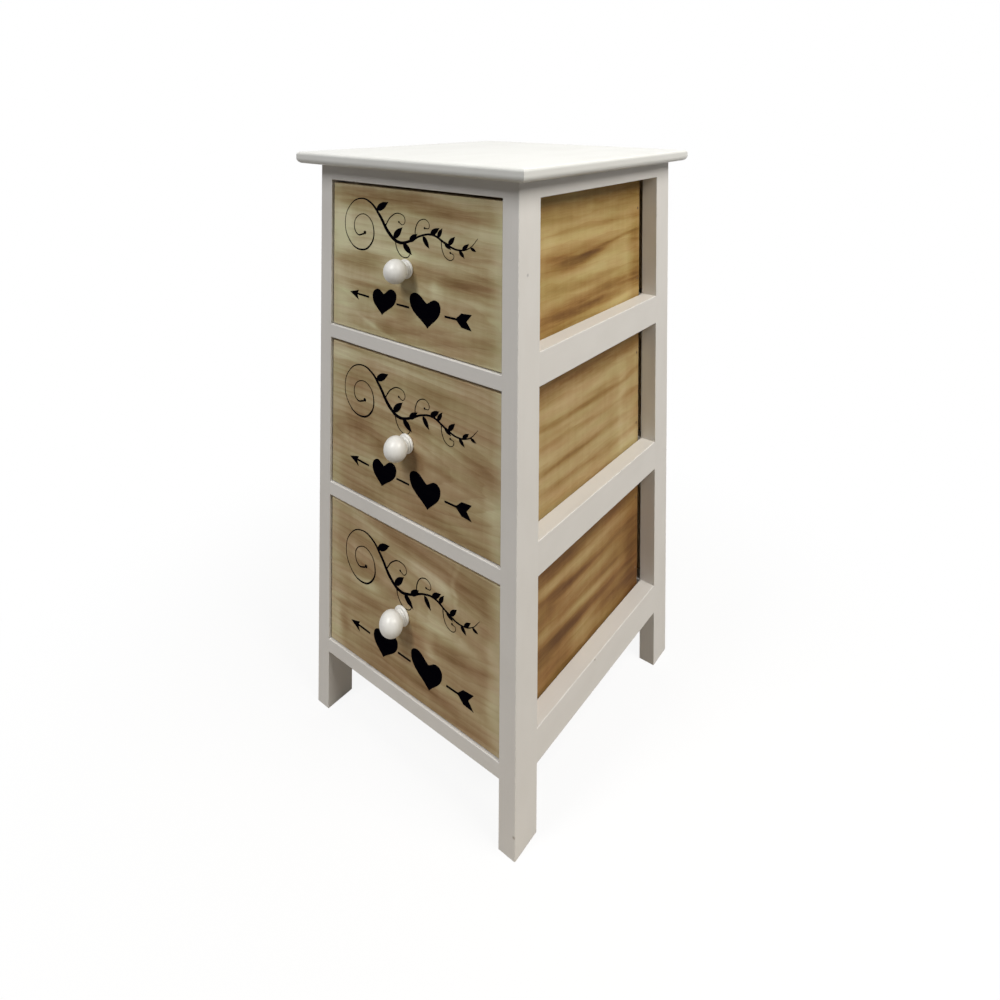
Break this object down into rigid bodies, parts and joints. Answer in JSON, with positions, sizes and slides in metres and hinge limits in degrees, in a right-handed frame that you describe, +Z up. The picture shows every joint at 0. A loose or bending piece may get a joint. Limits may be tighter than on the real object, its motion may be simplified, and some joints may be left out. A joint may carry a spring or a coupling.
{
  "type": "nightstand",
  "caption": "Slim bedside chest: white painted stick frame and top board, torched wood drawers with turned knobs on wooden runners.",
  "frame": {"origin": "on the floor, under the middle of the whole chest with its knobs", "axes": "+Z up, +Y to the back, +X to the right seen from the front"},
  "size_m": [0.316, 0.3516, 0.62],
  "materials": {
    "white_paint": "satin white paint on softwood",
    "white_top_paint": "satin white paint on board",
    "white_knob_paint": "semi gloss white paint on turned wood",
    "torched_front_wood": "torched and washed softwood, open grain, satin",
    "torched_side_wood": "torched softwood with dark bands, satin",
    "plain_wood": "planed softwood, bare",
    "plywood": "thin plywood, bare",
    "steel": "zinc plated steel"
  },
  "bodies": {
    "cabinet": {"back_panel": "plywood", "back_panel_nails": "steel", "back_rail_0": "white_paint", "back_rail_1": "white_paint", "back_rail_2": "white_paint", "back_rail_3": "white_paint", "frame_dowels": "plain_wood", "front_rail_0": "white_paint", "front_rail_1": "white_paint", "front_rail_2": "white_paint", "front_rail_3": "white_paint", "leg_back_left": "white_paint", "leg_back_right": "white_paint", "leg_front_left": "white_paint", "leg_front_right": "white_paint", "runner_left_1": "plain_wood", "runner_left_2": "plain_wood", "runner_left_3": "plain_wood", "runner_nails": "steel", "runner_right_1": "plain_wood", "runner_right_2": "plain_wood", "runner_right_3": "plain_wood", "side_rail_left_0": "white_paint", "side_rail_left_1": "white_paint", "side_rail_left_2": "white_paint", "side_rail_left_3": "white_paint", "side_rail_right_0": "white_paint", "side_rail_right_1": "white_paint", "side_rail_right_2": "white_paint", "side_rail_right_3": "white_paint", "top_board": "white_top_paint", "top_screws": "steel"},
    "drawer_1": {"drawer_1_back": "plain_wood", "drawer_1_bottom": "plywood", "drawer_1_dowels": "plain_wood", "drawer_1_front": "torched_front_wood", "drawer_1_nails": "steel", "drawer_1_side_left": "torched_side_wood", "drawer_1_side_right": "torched_side_wood", "knob_1": "white_knob_paint", "knob_screw_1": "steel"},
    "drawer_2": {"drawer_2_back": "plain_wood", "drawer_2_bottom": "plywood", "drawer_2_dowels": "plain_wood", "drawer_2_front": "torched_front_wood", "drawer_2_nails": "steel", "drawer_2_side_left": "torched_side_wood", "drawer_2_side_right": "torched_side_wood", "knob_2": "white_knob_paint", "knob_screw_2": "steel"},
    "drawer_3": {"drawer_3_back": "plain_wood", "drawer_3_bottom": "plywood", "drawer_3_dowels": "plain_wood", "drawer_3_front": "torched_front_wood", "drawer_3_nails": "steel", "drawer_3_side_left": "torched_side_wood", "drawer_3_side_right": "torched_side_wood", "knob_3": "white_knob_paint", "knob_screw_3": "steel"}
  },
  "joints": [
    {"name": "drawer_1_slide", "type": "slide", "parent": "cabinet", "child": "drawer_1", "axis": [0, -1, 0], "range_m": [0, 0.2]},
    {"name": "drawer_2_slide", "type": "slide", "parent": "cabinet", "child": "drawer_2", "axis": [0, -1, 0], "range_m": [0, 0.2]},
    {"name": "drawer_3_slide", "type": "slide", "parent": "cabinet", "child": "drawer_3", "axis": [0, -1, 0], "range_m": [0, 0.2]}
  ]
}
